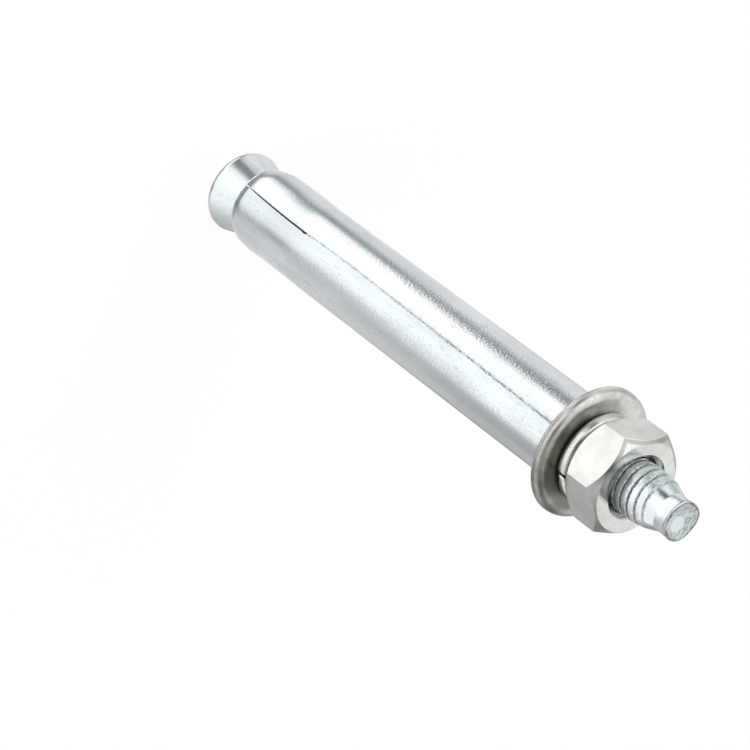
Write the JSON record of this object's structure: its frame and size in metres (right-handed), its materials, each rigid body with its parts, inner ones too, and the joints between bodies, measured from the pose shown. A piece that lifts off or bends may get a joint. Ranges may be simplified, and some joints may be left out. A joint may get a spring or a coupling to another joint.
{
  "type": "expansion bolt",
  "caption": "Expansion bolt with cone head, slotted steel sleeve, flat washer, spring washer and hexagon nut on a threaded end.",
  "frame": {"origin": "centre of the flat face of the cone head, on which the bolt stands", "axes": "+Z along the bolt's axis from the head to the threaded end, -Y through the seam of the sleeve"},
  "size_m": [0.018, 0.018, 0.094],
  "materials": {
    "zinc_stud": "bright bluish zinc plate, glossy",
    "zinc_sleeve": "bright bluish zinc plate with fine lengthwise streaks",
    "washer_steel": "dull warm grey zinc plate",
    "spring_steel": "semi-bright warm grey plate",
    "nut_steel": "satin off-white zinc plate"
  },
  "bodies": {
    "bolt": {"cone_bolt": "zinc_stud"},
    "sleeve": {"expansion_sleeve": "zinc_sleeve"},
    "washers": {"flat_washer": "washer_steel", "spring_washer": "spring_steel"},
    "nut": {"hex_nut": "nut_steel"}
  },
  "joints": [
    {"name": "sleeve_slide", "type": "slide", "parent": "bolt", "child": "sleeve", "axis": [0, 0, 1], "range_m": [0, 0.0005]},
    {"name": "nut_travel", "type": "slide", "parent": "bolt", "child": "washers", "axis": [0, 0, 1], "range_m": [0, 0.005]},
    {"name": "nut_turn", "type": "hinge", "parent": "washers", "child": "nut", "pos_m": [0, 0, 0.08246], "axis": [0, 0, 1], "range_deg": [0, 1440]}
  ],
  "couplings": [
    {"joint": "nut_turn", "follows": "nut_travel", "rad_per_m": 5026.5}
  ]
}
